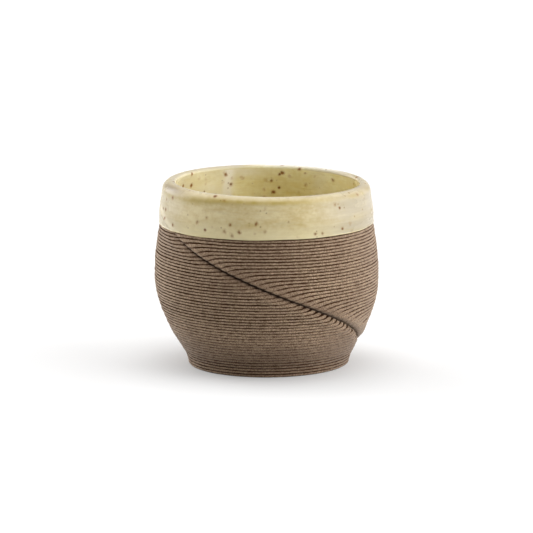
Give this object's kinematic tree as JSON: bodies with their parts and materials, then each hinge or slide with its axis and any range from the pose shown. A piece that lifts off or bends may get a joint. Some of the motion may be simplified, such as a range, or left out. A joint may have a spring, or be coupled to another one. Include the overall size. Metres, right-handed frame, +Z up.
{
  "type": "espresso cup",
  "caption": "Small round handle-less cup of layered clay with a diagonal fold round its belly and a glazed rim and inside.",
  "frame": {"origin": "on the cup's axis, in the plane of the underside of its foot", "axes": "+Z up along the cup's axis, -Y towards the front, where the fold is at half height, +X towards the side where the fold runs low"},
  "size_m": [0.0678, 0.0685, 0.056],
  "materials": {
    "clay": "matte, unglazed, with fine horizontal ridges",
    "glaze": "glossy cream yellow with brown specks"
  },
  "bodies": {
    "root": {"floor_slab": "clay", "clay_wall": "clay", "glaze_lining": "glaze", "glaze_collar": "glaze"}
  },
  "joints": []
}
